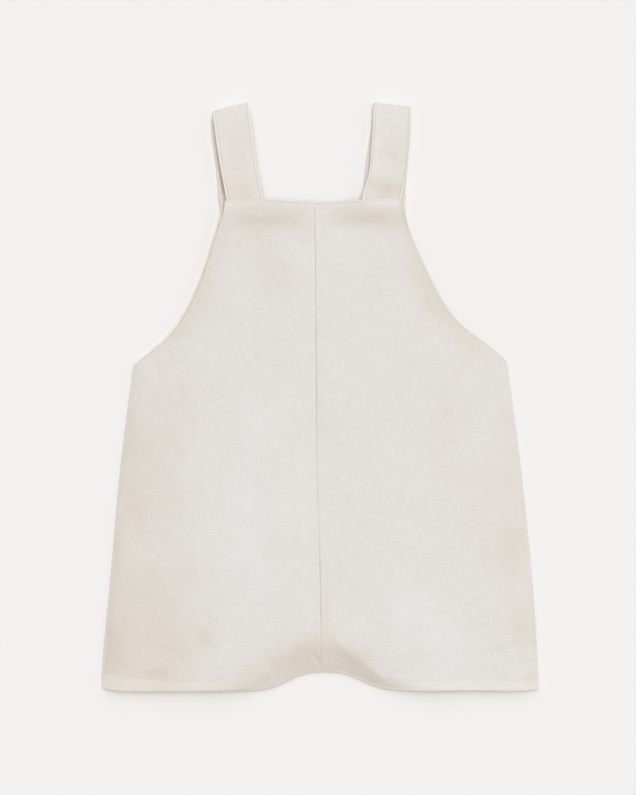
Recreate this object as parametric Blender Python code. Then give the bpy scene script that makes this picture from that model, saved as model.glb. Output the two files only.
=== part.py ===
"""Short dungarees for a small child, laid flat with the front upwards.

The back halves lie flat on the surface. The front halves lie over them, held a little open by the
air inside, and roll down to meet them at the side seams and round the crotch. Two doubled straps
are sewn inside the top of the bib, turn over in a soft fold and are sewn inside the top of the back.

Frame: +X to the right, +Y from the legs to the straps, +Z up, origin on the surface at the middle
of the garment. Lengths in the tables are millimetres.
"""

import math
from bisect import bisect_right
from collections import namedtuple

import bmesh
import bpy
from mathutils import Vector

MM = 0.001

CLOTH = 1.2  # wall of the pressed cloth, with its turnings
HEM_EXTRA = 0.6  # how much thicker the turned hem makes the wall, inside
HEM_BAND = 8.0  # depth of the turned hem
HEM_STEP = 4.0  # stretch in which the hem's extra thickness runs out
STRAP_WALL = 2.2  # thickness of a doubled strap
SEAM_GAP = 0.3  # clearance between neighbouring pieces
BACK_INSET = 0.4  # the back's edges lie this far inside the front's
SIDE_ROLL = 9.0  # width of the roll that closes the front onto the back at the side seam
OPEN_ABOVE_ARM = 36.0  # length of armhole over which the edge of the front comes free
CREASE_SHOULDER = 0.35  # how much the crotch roll rounds before it falls
BLEND_AT_LEG = 30.0  # width over which a leg hem opens beside the crotch
HALF = 0.5

BACK_TOP = CLOTH
CLOSED_TOP = BACK_TOP + SEAM_GAP + CLOTH  # top of the front where it lies on the back

Point = namedtuple("Point", "x y")
Section = namedtuple(
    "Section",
    "up steps l_side l_outer l_middle l_inner seam r_inner r_middle r_outer r_side",
)
Reach = namedtuple("Reach", "x reach")
Rung = namedtuple("Rung", "left_x left_y left_z right_x right_y right_z")
Outline = namedtuple("Outline", "side armhole top bottom")

# The front's outline, from the underarm, bib corner and hem corner of each side.
CENTRE_SEAM = (
    Point(0.9, -206.4),
    Point(0.2, -170.0),
    Point(-0.9, -115.0),
    Point(-2.8, -60.0),
    Point(-3.6, 30.0),
    Point(-4.3, 120.0),
    Point(-5.0, 144.9),
)
FRONT_LEFT = Outline(
    side=(
        Point(-163.2, -218.6),
        Point(-163.1, -200.0),
        Point(-157.2, -138.0),
        Point(-149.2, -50.0),
        Point(-139.9, 23.4),
    ),
    armhole=(
        Point(-139.9, 23.4),
        Point(-127.5, 32.8),
        Point(-115.3, 42.0),
        Point(-106.3, 52.8),
        Point(-98.2, 66.3),
        Point(-89.1, 87.3),
        Point(-79.3, 117.3),
        Point(-72.6, 138.5),
        Point(-71.8, 146.4),
    ),
    top=(Point(-5.0, 144.9), Point(-23.0, 146.1), Point(-42.0, 146.9), Point(-71.8, 146.4)),
    bottom=(
        Point(0.9, -206.4),
        Point(-10.0, -207.2),
        Point(-20.0, -210.9),
        Point(-30.0, -216.2),
        Point(-41.0, -220.5),
        Point(-48.0, -221.2),
        Point(-60.0, -219.9),
        Point(-105.0, -220.5),
        Point(-152.0, -220.4),
        Point(-163.2, -218.6),
    ),
)
FRONT_RIGHT = Outline(
    side=(
        Point(163.2, -219.2),
        Point(159.4, -152.7),
        Point(150.8, -62.7),
        Point(139.4, 26.4),
    ),
    armhole=(
        Point(139.4, 26.4),
        Point(137.2, 29.8),
        Point(125.4, 38.4),
        Point(111.0, 47.9),
        Point(99.8, 57.8),
        Point(89.6, 73.3),
        Point(75.2, 102.3),
        Point(65.4, 124.8),
        Point(61.0, 135.5),
        Point(60.4, 146.8),
    ),
    top=(
        Point(-5.0, 144.9),
        Point(10.5, 145.1),
        Point(28.0, 146.8),
        Point(48.0, 148.0),
        Point(60.4, 146.8),
    ),
    bottom=(
        Point(0.9, -206.4),
        Point(12.0, -206.6),
        Point(22.0, -208.6),
        Point(32.0, -213.4),
        Point(42.0, -218.4),
        Point(50.0, -219.6),
        Point(75.0, -220.2),
        Point(120.0, -219.9),
        Point(150.0, -220.6),
        Point(163.2, -219.2),
    ),
)

# The back shows past the front beside the straps, and its neck lies just below the bib's edge.
BACK_SEAM = CENTRE_SEAM[:-1] + (Point(-5.0, 142.6),)
BACK_LEFT = Outline(
    side=FRONT_LEFT.side,
    armhole=(
        Point(-139.9, 23.4),
        Point(-123.6, 37.8),
        Point(-112.3, 49.8),
        Point(-102.0, 64.8),
        Point(-91.2, 87.3),
        Point(-81.8, 117.3),
        Point(-75.6, 137.0),
        Point(-74.8, 143.6),
    ),
    top=(Point(-5.0, 142.6), Point(-42.0, 143.6), Point(-74.8, 143.6)),
    bottom=FRONT_LEFT.bottom,
)
BACK_RIGHT = Outline(
    side=FRONT_RIGHT.side,
    armhole=FRONT_RIGHT.armhole[:7]
    + (
        Point(66.4, 124.8),
        Point(63.9, 135.5),
        Point(62.8, 143.6),
    ),
    top=(Point(-5.0, 142.6), Point(28.0, 143.6), Point(62.8, 143.6)),
    bottom=FRONT_RIGHT.bottom,
)

# Height of the front's upper face, in sections across it, from the hem up. Each row says how far up
# the side it stands and in how many steps the mesh goes on to the next.
PANEL_HEIGHT = 367.0
UNDERARM_UP = 245.0
SECTIONS = (
    Section(0.0, 3, 6.4, 8.5, 9.2, 9.7, 9.8, 9.7, 9.2, 8.6, 6.4),
    Section(12.0, 3, 6.2, 8.4, 9.5, 10.3, 10.4, 10.2, 9.6, 8.5, 6.2),
    Section(30.0, 3, 5.6, 8.0, 9.9, 11.2, 10.8, 11.0, 10.0, 8.2, 5.8),
    Section(60.0, 4, 5.0, 7.2, 9.8, 11.2, 10.4, 10.8, 9.9, 7.7, 5.4),
    Section(120.0, 4, 4.8, 6.8, 9.4, 10.9, 9.9, 10.5, 9.7, 7.2, 5.0),
    Section(190.0, 3, 4.8, 6.7, 9.1, 10.4, 9.4, 10.0, 9.5, 7.2, 5.0),
    Section(245.0, 4, 4.8, 6.9, 8.8, 9.8, 9.1, 9.6, 9.1, 7.3, 5.0),
    Section(297.0, 3, 4.9, 6.8, 8.4, 9.3, 8.8, 9.2, 8.6, 7.0, 5.0),
    Section(333.0, 2, 5.8, 6.4, 7.0, 7.8, 8.2, 7.8, 6.9, 6.4, 5.8),
    Section(350.0, 1, 6.4, 5.6, 5.5, 6.2, 7.6, 6.0, 5.5, 5.7, 6.4),
    Section(356.0, 2, 7.8, 7.8, 7.8, 7.5, 7.4, 7.5, 7.8, 7.8, 7.8),
    Section(367.0, 0, 7.8, 7.8, 7.8, 7.4, 7.2, 7.4, 7.8, 7.8, 7.8),
)
HEIGHT_PLACES = (0.0, 0.25, 0.5, 0.75, 1.0)  # from the centre seam to the outer edge
COLUMN_PLACES = (
    (0.0, 0.04, 0.09, 0.15, 0.21)
    + (0.28, 0.37, 0.47, 0.57, 0.67)
    + (0.77, 0.86, 0.93, 0.975, 1.0)
)

# How far the cloth's roll reaches up from the crotch's edge, along it from left to right.
CROTCH_ROLL = (
    Reach(-80.0, 8.0),
    Reach(-49.0, 8.5),
    Reach(-42.0, 16.0),
    Reach(-23.0, 22.0),
    Reach(-8.0, 26.0),
    Reach(3.0, 25.0),
    Reach(10.7, 23.6),
    Reach(18.2, 20.4),
    Reach(31.0, 15.0),
    Reach(44.4, 8.5),
    Reach(80.0, 8.0),
)
LEG_INNER_LEFT = -45.0
LEG_INNER_RIGHT = 46.0

# Middle of each strap's thickness, by its two edges, from the end inside the bib up to the fold and
# then from the fold down to the end inside the back.
STRAP_LEFT_FRONT = (
    Rung(-69.4, 137.2, 5.1, -41.2, 137.2, 5.1),
    Rung(-70.7, 147.3, 5.1, -43.0, 147.3, 5.1),
    Rung(-72.1, 154.8, 5.6, -44.4, 154.8, 4.8),
    Rung(-75.0, 169.8, 6.5, -47.4, 170.2, 4.5),
    Rung(-77.4, 184.8, 6.5, -49.6, 186.5, 4.3),
    Rung(-79.5, 199.8, 5.5, -51.8, 203.5, 4.3),
    Rung(-81.4, 214.6, 4.4, -54.6, 220.7, 4.4),
)
STRAP_LEFT_BACK = (
    Rung(-81.4, 214.6, 1.1, -54.6, 220.7, 1.1),
    Rung(-82.2, 203.0, 1.1, -54.4, 205.5, 1.1),
    Rung(-80.6, 186.0, 1.1, -52.8, 187.5, 1.1),
    Rung(-78.3, 168.0, 1.12, -50.5, 168.5, 1.12),
    Rung(-77.0, 156.0, 1.2, -49.2, 156.0, 1.2),
    Rung(-76.0, 149.0, 1.9, -48.2, 149.0, 1.9),
    Rung(-75.4, 144.6, 2.6, -47.6, 144.6, 2.6),
    Rung(-73.8, 133.6, 2.6, -46.4, 133.6, 2.6),
)
STRAP_RIGHT_FRONT = (
    Rung(30.0, 137.2, 5.1, 58.8, 137.2, 5.1),
    Rung(30.8, 148.4, 5.1, 60.0, 148.4, 5.1),
    Rung(32.8, 156.4, 4.6, 61.4, 155.8, 4.4),
    Rung(36.2, 168.4, 5.2, 63.2, 167.4, 4.8),
    Rung(37.6, 184.8, 5.4, 65.2, 183.6, 4.7),
    Rung(38.8, 200.4, 4.9, 66.4, 198.4, 4.5),
    Rung(39.4, 220.9, 4.4, 67.8, 217.6, 4.4),
)
STRAP_RIGHT_BACK = (
    Rung(39.4, 220.9, 1.1, 67.8, 217.6, 1.1),
    Rung(39.0, 203.0, 1.1, 67.0, 201.0, 1.1),
    Rung(37.6, 184.0, 1.1, 65.6, 183.0, 1.1),
    Rung(36.4, 168.0, 1.12, 64.2, 167.6, 1.12),
    Rung(35.4, 156.0, 1.2, 63.2, 156.0, 1.2),
    Rung(34.8, 149.0, 1.9, 62.8, 149.0, 1.9),
    Rung(34.4, 144.6, 2.6, 62.6, 144.6, 2.6),
    Rung(33.2, 133.6, 2.6, 60.8, 133.6, 2.6),
)
STRAP_FRONT_STEPS = 16
STRAP_BACK_STEPS = 15
FOLD_STEPS = 8
STRAP_COLUMNS = 6

ECRU = (0.783, 0.752, 0.708, 1.0)
ECRU_BACK = (0.745, 0.710, 0.660, 1.0)
ECRU_STRAP = (0.793, 0.760, 0.716, 1.0)
CLOTH_ROUGHNESS = 0.85
SHARP_EDGE = 40.0  # degrees between faces from which their edge is shaded sharp


def clear_scene():
    """Remove every object of the startup scene."""
    for thing in list(bpy.data.objects):
        bpy.data.objects.remove(thing, do_unlink=True)


def smooth_value(places, values, at):
    """Value at a place on the smooth curve through values that stand at rising places."""

    def slope(index):
        """Slope of the curve at one of its places."""
        before = max(index - 1, 0)
        after = min(index + 1, len(places) - 1)
        return (values[after] - values[before]) / (places[after] - places[before])

    start = min(max(bisect_right(places, at) - 1, 0), len(places) - 2)
    span = places[start + 1] - places[start]
    share = (at - places[start]) / span
    rest = 1.0 - share
    from_start = values[start] * (1.0 + 2.0 * share) * rest**2
    from_end = values[start + 1] * (3.0 - 2.0 * share) * share**2
    from_slopes = slope(start) * share * rest**2 - slope(start + 1) * rest * share**2
    return from_start + from_end + from_slopes * span


def along(points, share):
    """Point at a share of the length of the smooth curve through points."""
    spots = [Vector((point.x, point.y)) for point in points]
    places = [0.0]
    for first, second in zip(spots, spots[1:]):
        places.append(places[-1] + (second - first).length)
    return smooth_value(places, spots, share * places[-1])


def eased(share):
    """A share from 0 to 1 with soft ends."""
    held = min(max(share, 0.0), 1.0)
    return held * held * (3.0 - 2.0 * held)


def outer_edge(outline, up_share):
    """Point on the side seam or, above the underarm, on the armhole."""
    arm_share = UNDERARM_UP / PANEL_HEIGHT
    if up_share <= arm_share:
        return along(outline.side, up_share / arm_share)
    return along(outline.armhole, (up_share - arm_share) / (1.0 - arm_share))


def panel_point(outline, seam, across, up_share):
    """Plan position in a panel: across from the centre seam, up from the hem, both from 0 to 1."""
    inner = along(seam, up_share)
    outer = outer_edge(outline, up_share)
    bottom = along(outline.bottom, across)
    top = along(outline.top, across)
    between_sides = inner.lerp(outer, across)
    between_ends = bottom.lerp(top, up_share)
    low = along(seam, 0.0).lerp(outer_edge(outline, 0.0), across)
    high = along(seam, 1.0).lerp(outer_edge(outline, 1.0), across)
    return between_sides + between_ends - low.lerp(high, up_share)


def row_places():
    """Distances up the panel of the mesh's rows, with the steps that the sections give."""
    rows = []
    for section, following in zip(SECTIONS, SECTIONS[1:]):
        step = (following.up - section.up) / section.steps
        rows += [section.up + step * count for count in range(section.steps)]
    return rows + [SECTIONS[-1].up]


def section_height(is_left, across, up):
    """Height of the front's upper face before it rolls down to its seams."""
    ups = [section.up for section in SECTIONS]
    heights = []
    for section in SECTIONS:
        left = (section.seam, section.l_inner, section.l_middle, section.l_outer, section.l_side)
        right = (section.seam, section.r_inner, section.r_middle, section.r_outer, section.r_side)
        heights.append(smooth_value(HEIGHT_PLACES, left if is_left else right, across))
    return smooth_value(ups, heights, up)


def hem_extra(x, up):
    """Thickness that the turned hem adds: none round the crotch, which has no hem."""
    beside_crotch = max(LEG_INNER_LEFT - x, x - LEG_INNER_RIGHT)
    in_leg = eased(beside_crotch / HEM_STEP)
    in_band = 1.0 - eased((up - HEM_BAND) / HEM_STEP)
    return HEM_EXTRA * in_leg * in_band


def side_fall(across, up, width):
    """How far open the front is beside the side seam: 0 on the back, 1 at full height."""
    share = min((1.0 - across) * width / SIDE_ROLL, 1.0)
    rolled = math.sin(share * math.pi * HALF)
    free = eased((up - UNDERARM_UP) / OPEN_ABOVE_ARM)
    return rolled + (1.0 - rolled) * free


def crotch_fall(x, above_edge):
    """How far open the front is above the crotch's edge: 0 on the back, 1 at full height."""
    reach = smooth_value([row.x for row in CROTCH_ROLL], [row.reach for row in CROTCH_ROLL], x)
    share = min(above_edge / reach, 1.0)
    rolled = share * (1.0 + CREASE_SHOULDER * (1.0 - share))
    into_leg = max(LEG_INNER_LEFT - x, x - LEG_INNER_RIGHT)
    free = eased(into_leg / BLEND_AT_LEG)
    return rolled + (1.0 - rolled) * free


def front_heights(outline, is_left, plan, across, up):
    """Lower and upper height of a front panel at a place."""
    extra = hem_extra(plan.x, up)
    closed = CLOSED_TOP + 2.0 * extra
    width = abs(outer_edge(outline, up / PANEL_HEIGHT).x)
    edge_y = along(outline.bottom, across).y
    openness = side_fall(across, up, width) * crotch_fall(plan.x, max(plan.y - edge_y, 0.0))
    upper = CLOSED_TOP + (section_height(is_left, across, up) - CLOSED_TOP) * openness
    upper = max(upper, closed)
    return upper - CLOTH - extra, upper


def back_heights(plan, up):
    """Lower and upper height of a back panel at a place: it lies flat on the surface."""
    return 0.0, CLOTH + hem_extra(plan.x, up)


def make_object(mesh_bm, name, colour):
    """Turn a bmesh in millimetres into a named object in metres with its own material."""
    bmesh.ops.scale(mesh_bm, vec=(MM, MM, MM), verts=mesh_bm.verts)
    bmesh.ops.recalc_face_normals(mesh_bm, faces=mesh_bm.faces)
    mesh = bpy.data.meshes.new(name)
    mesh_bm.to_mesh(mesh)
    mesh_bm.free()
    mesh.shade_smooth()
    mesh.set_sharp_from_angle(angle=math.radians(SHARP_EDGE))
    material = bpy.data.materials.new(name + "_cloth")
    material.use_nodes = True
    shader = material.node_tree.nodes["Principled BSDF"]
    shader.inputs["Base Color"].default_value = colour
    shader.inputs["Roughness"].default_value = CLOTH_ROUGHNESS
    shader.inputs["Metallic"].default_value = 0.0
    mesh.materials.append(material)
    thing = bpy.data.objects.new(name, mesh)
    bpy.context.scene.collection.objects.link(thing)
    return thing


def make_panel(name, outline, seam, colour, is_left, is_front):
    """Make one cloth panel: a grid for its lower face, extruded to its upper face."""
    rows = row_places()
    panel = bmesh.new()
    bmesh.ops.create_grid(
        panel, x_segments=len(COLUMN_PLACES) - 1, y_segments=len(rows) - 1, size=HALF
    )
    outward = -1.0 if is_left else 1.0
    inset = 0.0 if is_front else BACK_INSET
    uppers = {}
    for vert in panel.verts:
        column = round((vert.co.x + HALF) * (len(COLUMN_PLACES) - 1))
        row = round((vert.co.y + HALF) * (len(rows) - 1))
        across, up = COLUMN_PLACES[column], rows[row]
        plan = panel_point(outline, seam, across, up / PANEL_HEIGHT)
        if is_front:
            lower, upper = front_heights(outline, is_left, plan, across, up)
        else:
            lower, upper = back_heights(plan, up)
        from_seam = outward * SEAM_GAP * HALF
        tuck_in = outward * inset * across
        tuck_up = inset * (1.0 - up / PANEL_HEIGHT)
        vert.co = (plan.x + from_seam - tuck_in, plan.y + tuck_up, lower)
        uppers[(round(vert.co.x, 4), round(vert.co.y, 4))] = upper
    raised = bmesh.ops.extrude_face_region(panel, geom=panel.faces[:])
    for vert in raised["geom"]:
        if isinstance(vert, bmesh.types.BMVert):
            vert.co.z = uppers[(round(vert.co.x, 4), round(vert.co.y, 4))]
    return make_object(panel, name, colour)


def strap_stations(front, back):
    """Edge points of a strap's middle layer, from the bib's end round the fold to the back's end."""

    def run(rungs, steps):
        """Edge points at even steps along one run of the strap."""
        left = [Vector((rung.left_x, rung.left_y, rung.left_z)) for rung in rungs]
        right = [Vector((rung.right_x, rung.right_y, rung.right_z)) for rung in rungs]
        places = [0.0]
        for first, second in zip(left, left[1:]):
            places.append(places[-1] + (second - first).length)
        shares = [places[-1] * count / steps for count in range(steps + 1)]
        return [(smooth_value(places, left, at), smooth_value(places, right, at)) for at in shares]

    upwards = run(front, STRAP_FRONT_STEPS)
    downwards = run(back, STRAP_BACK_STEPS)
    radius = (upwards[-1][0].z - downwards[0][0].z) * HALF
    fold_line = upwards[-1][1] - upwards[-1][0]
    outwards = Vector((-fold_line.y, fold_line.x, 0.0)).normalized()
    set_back = outwards * (radius + STRAP_WALL * HALF)
    fold = []
    for count in range(1, FOLD_STEPS):
        angle = math.pi * count / FOLD_STEPS
        turn = outwards * (radius * math.sin(angle)) + Vector((0.0, 0.0, radius * math.cos(angle) - radius))
        fold.append(tuple(edge - set_back + turn for edge in upwards[-1]))
    top = [tuple(edge - set_back for edge in upwards[-1])]
    bottom = [tuple(edge - set_back for edge in downwards[0])]
    return upwards[:-1] + top + fold + bottom + downwards[1:]


def make_strap(name, front, back):
    """Make one strap: a band of stations, given its thickness on both sides of its middle layer."""
    stations = strap_stations(front, back)
    band = bmesh.new()
    bmesh.ops.create_grid(band, x_segments=STRAP_COLUMNS, y_segments=len(stations) - 1, size=HALF)
    for vert in band.verts:
        left, right = stations[round((vert.co.y + HALF) * (len(stations) - 1))]
        vert.co = left.lerp(right, vert.co.x + HALF)
    strap = make_object(band, name, ECRU_STRAP)
    wall = strap.modifiers.new("doubled_cloth", "SOLIDIFY")
    wall.thickness = STRAP_WALL * MM
    wall.offset = 0.0
    wall.use_even_offset = True
    return strap


def main():
    """Build the six pieces of cloth."""
    clear_scene()
    make_panel("back_left", BACK_LEFT, BACK_SEAM, ECRU_BACK, is_left=True, is_front=False)
    make_panel("back_right", BACK_RIGHT, BACK_SEAM, ECRU_BACK, is_left=False, is_front=False)
    make_panel("front_left", FRONT_LEFT, CENTRE_SEAM, ECRU, is_left=True, is_front=True)
    make_panel("front_right", FRONT_RIGHT, CENTRE_SEAM, ECRU, is_left=False, is_front=True)
    make_strap("strap_left", STRAP_LEFT_FRONT, STRAP_LEFT_BACK)
    make_strap("strap_right", STRAP_RIGHT_FRONT, STRAP_RIGHT_BACK)


main()
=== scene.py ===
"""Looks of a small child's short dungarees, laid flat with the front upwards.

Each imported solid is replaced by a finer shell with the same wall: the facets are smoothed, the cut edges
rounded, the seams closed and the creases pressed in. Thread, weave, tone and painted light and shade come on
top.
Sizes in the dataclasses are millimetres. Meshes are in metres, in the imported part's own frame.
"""

import logging
import math
from dataclasses import dataclass, field
from enum import Enum

import bmesh
import bpy
import numpy as np
from mathutils import Matrix, Vector
from mathutils.bvhtree import BVHTree
from mathutils.kdtree import KDTree


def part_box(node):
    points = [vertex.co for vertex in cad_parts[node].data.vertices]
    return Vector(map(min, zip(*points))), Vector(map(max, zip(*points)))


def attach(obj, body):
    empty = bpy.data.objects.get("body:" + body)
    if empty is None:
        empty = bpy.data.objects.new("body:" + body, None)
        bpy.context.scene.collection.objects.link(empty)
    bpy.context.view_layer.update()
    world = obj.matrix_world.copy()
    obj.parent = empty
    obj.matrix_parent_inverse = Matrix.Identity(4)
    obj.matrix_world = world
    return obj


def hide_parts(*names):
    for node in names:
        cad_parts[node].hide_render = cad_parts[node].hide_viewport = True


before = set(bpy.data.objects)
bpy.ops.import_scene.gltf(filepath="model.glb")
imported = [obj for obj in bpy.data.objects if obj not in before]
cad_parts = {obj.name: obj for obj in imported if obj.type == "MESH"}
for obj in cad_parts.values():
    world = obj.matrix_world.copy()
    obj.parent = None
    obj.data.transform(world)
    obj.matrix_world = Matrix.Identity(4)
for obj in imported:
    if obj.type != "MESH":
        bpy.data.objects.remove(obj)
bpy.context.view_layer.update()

MM = 0.001
BODY = "root"
FAR = 99.0
STEEP = 0.35  # a face whose normal rises less than this is part of a cut edge
LIGHT_FROM = (0.75, 0.65)  # where the light stands, in plan

Colour = tuple[float, float, float]
Spot = tuple[float, float]

log = logging.getLogger("dungarees")


class Layer(Enum):
    """Numbers stored on a cloth mesh for its shader. Distances are millimetres."""

    GRAIN = "grain"
    RIM = "rim_distance"
    LIP = "lip_distance"
    SEAM = "seam_distance"
    HEM = "hem_distance"
    WARMTH = "warmth"
    SHELTER = "shelter"
    GLOW = "glow"


DISTANCES = (Layer.RIM, Layer.LIP, Layer.SEAM, Layer.HEM)


class Edge(Enum):
    """Named stretches of a panel's outline."""

    SEAM = "seam"
    BOTTOM = "bottom"
    SIDE = "side"
    ARMHOLE = "armhole"
    TOP = "top"


class Face(Enum):
    """Which face of a panel is its outer one, where its edges are read and its rows are sewn."""

    UPPER = 1
    LOWER = -1


# Shader nodes and finishes

NUMBER = "NodeSocketFloat"
VECTOR = "NodeSocketVector"
COLOUR = "NodeSocketColor"


class NodeSheet:
    """A node tree that is being filled: adds nodes and joins their sockets."""

    def __init__(self, tree: bpy.types.NodeTree) -> None:
        """Keep the tree to fill, and room for its shader."""
        self.tree = tree
        self.shader: bpy.types.Node | None = None

    def feed(self, node: bpy.types.Node, given: dict[str | int, object]) -> None:
        """Give a node its inputs.

        Args:
            node: The node.
            given: Sockets to join or constant values, by the inputs' names or places.
        """
        for name, value in given.items():
            if isinstance(value, bpy.types.NodeSocket):
                self.tree.links.new(value, node.inputs[name])
            else:
                node.inputs[name].default_value = value

    def add(self, kind: str, given: dict[str, object] | None = None, **settings: object) -> bpy.types.Node:
        """Add a node.

        Args:
            kind: Blender's name for the node.
            given: Its inputs, as feed takes them.
            settings: Values of the node's own properties.

        Returns:
            The new node.
        """
        node = self.tree.nodes.new(kind)
        for name, value in settings.items():
            setattr(node, name, value)
        self.feed(node, given or {})
        return node

    def use(self, group: bpy.types.NodeTree, given: dict[str, object]) -> bpy.types.bpy_prop_collection:
        """Outputs of a new node that places a group."""
        return self.add("ShaderNodeGroup", given, node_tree=group).outputs

    def put_out(self, given: dict[str, object]) -> bpy.types.NodeTree:
        """Join a group's outputs, and give back its tree."""
        self.add("NodeGroupOutput", given)
        return self.tree

    def maths(self, operation: str, *values: object) -> bpy.types.NodeSocket:
        """Result of a new Math node on sockets or numbers."""
        return self.add("ShaderNodeMath", dict(enumerate(values)), operation=operation).outputs[0]

    def blend(self, share: object, first: object, second: object) -> bpy.types.NodeSocket:
        """Colour between two others, by the share of the second from 0 to 1."""
        given = {"Factor": share, 6: first, 7: second}
        return self.add("ShaderNodeMix", given, data_type="RGBA").outputs[2]

    def noise(self, vector: object, scale: float, detail: float = 2.0) -> bpy.types.NodeSocket:
        """Noise from 0 to 1 at a vector, with so many features to its unit and octaves of detail."""
        given = {"Vector": vector, "Scale": scale, "Detail": detail}
        return self.add("ShaderNodeTexNoise", given).outputs["Fac"]


@dataclass(frozen=True)
class EdgeLine:
    """A soft line of another tint that runs beside an edge."""

    layer: Layer
    inset: float
    half_width: float
    softness: float
    strength: float
    colour: Colour
    sunk: float = 0.0


class ClothNodes:
    """The node groups that the cloth finishes share, each built once."""

    def __init__(self) -> None:
        """Build the groups."""
        self.weave = self._weave()
        self.tone = self._tone()
        self.line = self._line()

    @staticmethod
    def _group(
        name: str, inputs: dict[str, str], outputs: dict[str, str]
    ) -> tuple[NodeSheet, bpy.types.bpy_prop_collection]:
        """Make an empty node group.

        Args:
            name: The group's name.
            inputs: Names of its inputs and their socket types.
            outputs: Names of its outputs and their socket types.

        Returns:
            The group's sheet, and the sockets that its inputs arrive on.
        """
        group = bpy.data.node_groups.new(name, "ShaderNodeTree")
        for way, sockets in (("INPUT", inputs), ("OUTPUT", outputs)):
            for title, kind in sockets.items():
                group.interface.new_socket(title, in_out=way, socket_type=kind)
        sheet = NodeSheet(group)
        return sheet, sheet.add("NodeGroupInput").outputs

    def _weave(self) -> bpy.types.NodeTree:
        """Plain weave: each yarn passes over and under its neighbours, and neither runs quite straight.

        Returns:
            The group, with a Height from 0 to 1 and a Slub shade about 0.
        """
        sheet, given = self._group(
            "plain_weave", {"Vector": VECTOR, "Pitch": NUMBER}, {"Height": NUMBER, "Slub": NUMBER}
        )
        split = sheet.add("ShaderNodeSeparateXYZ", {"Vector": given["Vector"]}).outputs
        runs, waves = [], []
        for axis, wander in (("X", 60.0), ("Y", 75.0)):
            even = sheet.maths("DIVIDE", split[axis], given["Pitch"])
            runs.append(sheet.maths("MULTIPLY_ADD", sheet.noise(given["Vector"], wander), 5.0, even))
            waves.append(sheet.maths("SINE", sheet.maths("MULTIPLY", runs[-1], math.pi)))
        warp, weft = (sheet.maths("ABSOLUTE", wave) for wave in waves)
        over = sheet.maths("MULTIPLY_ADD", sheet.maths("MULTIPLY", *waves), 1.5, 0.5)
        over.node.use_clamp = True
        plain = sheet.maths("ADD", sheet.maths("MULTIPLY", warp, over), weft)
        woven = sheet.maths("SUBTRACT", plain, sheet.maths("MULTIPLY", weft, over))
        slubs = []
        for stretch in ((0.9, 0.13), (0.13, 0.9)):
            ends = (sheet.maths("MULTIPLY", run, share) for run, share in zip(runs, stretch))
            place = sheet.add("ShaderNodeCombineXYZ", dict(zip("XY", ends)))
            slubs.append(sheet.noise(place.outputs[0], 0.6))
        slub = sheet.maths("ADD", slubs[0], sheet.maths("SUBTRACT", slubs[1], 1.0))
        height = sheet.maths("MULTIPLY", woven, sheet.maths("ADD", slub, 1.0))
        return sheet.put_out({"Height": height, "Slub": slub})

    def _tone(self) -> bpy.types.NodeTree:
        """Uneven tone of undyed cloth: soft clouds, mottled hue and yarn slubs, with zones of painted shade
        and light laid over it.

        Returns:
            The group, with the cloth's Colour and its Roughness.
        """
        sheet, given = self._group(
            "cloth_tone_and_painted_shading",
            {
                "Vector": VECTOR,
                **dict.fromkeys(("Slub", "Warmth"), NUMBER),
                **dict.fromkeys(("Cloth", "Shade", "Cool", "Warm"), COLOUR),
            },
            {"Colour": COLOUR, "Roughness": NUMBER},
        )
        cloud = sheet.noise(given["Vector"], 30.0, 1.0)
        mottle = sheet.noise(given["Vector"], 140.0, 3.0)
        share = sheet.maths("MULTIPLY_ADD", cloud, 0.4, -0.20)
        share = sheet.maths("ADD", share, sheet.maths("MULTIPLY_ADD", mottle, 0.24, -0.12))
        share = sheet.maths("ADD", share, sheet.maths("MULTIPLY_ADD", given["Warmth"], 0.75, 0.22))
        share.node.use_clamp = True
        body = sheet.blend(share, given["Cloth"], given["Shade"])
        hue = sheet.maths("MULTIPLY_ADD", sheet.noise(given["Vector"], 110.0), 1.2, -0.1)
        hue.node.use_clamp = True
        mixed = sheet.blend(1.0, body, sheet.blend(hue, given["Cool"], given["Warm"]))
        mixed.node.blend_type = "MULTIPLY"
        mixed = sheet.blend(1.0, mixed, sheet.maths("MULTIPLY_ADD", given["Slub"], -0.11, 1.0))
        mixed.node.blend_type = "MULTIPLY"
        roughness = sheet.maths("MULTIPLY_ADD", given["Slub"], 0.2, 0.86)
        return sheet.put_out({"Colour": mixed, "Roughness": roughness})

    def _line(self) -> bpy.types.NodeTree:
        """Soft line at an even distance from an edge.

        Returns:
            The group, with a Mask that is 1 on the line.
        """
        sheet, given = self._group(
            "edge_line",
            dict.fromkeys(("Distance", "Inset", "Half Width", "Softness", "Strength"), NUMBER),
            {"Mask": NUMBER},
        )
        away = sheet.maths("ABSOLUTE", sheet.maths("SUBTRACT", given["Distance"], given["Inset"]))
        within = sheet.maths("SUBTRACT", given["Half Width"], away)
        mask = sheet.maths("ADD", sheet.maths("DIVIDE", within, given["Softness"]), 0.5)
        mask.node.use_clamp = True
        return sheet.put_out({"Mask": sheet.maths("MULTIPLY", mask, given["Strength"])})


TAN = (0.660, 0.585, 0.495)
CREAM = (0.860, 0.825, 0.780)
STRAP_CLOTH = (0.825, 0.798, 0.768)


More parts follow.
